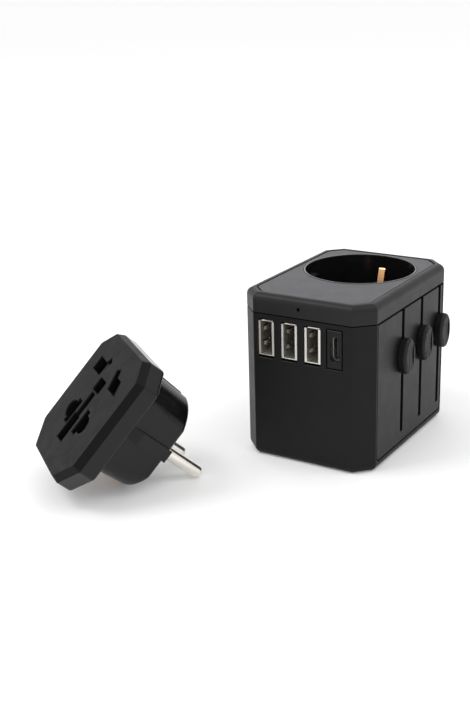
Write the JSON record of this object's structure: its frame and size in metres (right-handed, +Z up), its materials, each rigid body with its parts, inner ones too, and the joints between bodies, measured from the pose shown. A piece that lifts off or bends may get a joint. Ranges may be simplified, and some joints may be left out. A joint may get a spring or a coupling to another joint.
{
  "type": "universal travel adapter",
  "caption": "Black travel adapter cube with a recessed grounded socket, charging ports and side sliders that push out plug pins, with a loose grounded plug module beside it.",
  "frame": {"origin": "middle of the cube's flat bottom face", "axes": "+Z up out of the socket recess, -Y out of the charging ports, +X out of the slider side"},
  "size_m": [0.113, 0.1472, 0.0635],
  "materials": {
    "casing_plastic": "fine matte moulded black",
    "panel_plastic": "satin black",
    "knob_plastic": "matte black",
    "top_plate_plastic": "satin dark grey sheet",
    "recess_plastic": "glossy black",
    "screw_steel": "zinc plated",
    "earth_metal": "copper alloy strip",
    "contact_brass": "stamped brass",
    "pin_nickel": "turned nickel plating",
    "inner_plastic": "plain moulded",
    "port_steel": "tin plated sheet",
    "port_tongue": "black insulator",
    "circuit_board": "green solder mask",
    "component_dark": "moulded package",
    "ferrite": "dark ferrite and tape",
    "fuse_glass": "clear tube",
    "light_pipe": "smoked acrylic",
    "module_face_plastic": "fine spark texture",
    "module_gloss_plastic": "glossy black"
  },
  "bodies": {
    "cube": {"base_plate": "casing_plastic", "base_screws": "screw_steel", "capacitors": "component_dark", "charger_board": "circuit_board", "charger_chips": "component_dark", "contact_block": "recess_plastic", "earth_contact": "earth_metal", "fuse": "fuse_glass", "fuse_clips": "contact_brass", "led": "light_pipe", "led_pipe": "light_pipe", "live_busbar": "contact_brass", "live_contact": "contact_brass", "main_housing": "casing_plastic", "neutral_busbar": "contact_brass", "neutral_contact": "contact_brass", "partition": "inner_plastic", "recess_ring": "recess_plastic", "slider_panel": "panel_plastic", "socket_floor": "recess_plastic", "socket_well": "recess_plastic", "top_cap": "casing_plastic", "top_plate": "top_plate_plastic", "transformer": "ferrite", "usb_a_contacts": "contact_brass", "usb_a_shell_left": "port_steel", "usb_a_shell_middle": "port_steel", "usb_a_shell_right": "port_steel", "usb_a_tongue_left": "port_tongue", "usb_a_tongue_middle": "port_tongue", "usb_a_tongue_right": "port_tongue", "usb_c_bezel": "panel_plastic", "usb_c_shell": "port_steel", "usb_c_tongue": "port_tongue"},
    "slider_front": {"knob_front": "knob_plastic", "uk_carrier": "inner_plastic", "uk_pins": "pin_nickel", "uk_earth_pin": "inner_plastic", "uk_wipers": "contact_brass"},
    "slider_middle": {"knob_middle": "knob_plastic", "eu_carrier": "inner_plastic", "eu_pins": "pin_nickel", "eu_wipers": "contact_brass"},
    "slider_rear": {"knob_rear": "knob_plastic", "us_carrier": "inner_plastic", "us_wipers": "contact_brass"},
    "blade_left": {"us_blade_left": "pin_nickel"},
    "blade_right": {"us_blade_right": "pin_nickel"},
    "socket_shutter": {"socket_shutter": "recess_plastic"},
    "module": {"module_earth_clips": "earth_metal", "module_earth_contact": "earth_metal", "module_face": "module_face_plastic", "module_flange": "module_gloss_plastic", "module_line_contact": "contact_brass", "module_neutral_contact": "contact_brass", "module_pin_left": "pin_nickel", "module_pin_right": "pin_nickel", "module_plug": "module_gloss_plastic", "module_screws": "screw_steel"},
    "module_shutter": {"module_shutter": "inner_plastic"}
  },
  "joints": [
    {"name": "front_slider", "type": "slide", "parent": "cube", "child": "slider_front", "axis": [0, 0, -1], "range_m": [0, 0.0245]},
    {"name": "middle_slider", "type": "slide", "parent": "cube", "child": "slider_middle", "axis": [0, 0, -1], "range_m": [0, 0.0245]},
    {"name": "rear_slider", "type": "slide", "parent": "cube", "child": "slider_rear", "axis": [0, 0, -1], "range_m": [0, 0.0245]},
    {"name": "left_blade_twist", "type": "hinge", "parent": "slider_rear", "child": "blade_left", "pos_m": [-0.00635, 0.026, 0.03], "axis": [0, 0, 1], "range_deg": [-30, 0]},
    {"name": "right_blade_twist", "type": "hinge", "parent": "slider_rear", "child": "blade_right", "pos_m": [0.00635, 0.026, 0.03], "axis": [0, 0, 1], "range_deg": [0, 30]},
    {"name": "socket_shutter_turn", "type": "hinge", "parent": "cube", "child": "socket_shutter", "pos_m": [0, 0.0102, 0.0425], "axis": [0, 0, 1], "range_deg": [0, 22], "stiffness_Nm_per_rad": 0.004, "springref_deg": -5.73},
    {"name": "module_lift", "type": "slide", "parent": "cube", "child": "module", "axis": [0, 0, 1], "range_m": [0, 0.08]},
    {"name": "module_shutter_slide", "type": "slide", "parent": "module", "child": "module_shutter", "axis": [0.4102, 0.5307, 0.7417], "range_m": [0, 0.006], "stiffness_N_per_m": 60, "springref_m": -0.002}
  ]
}
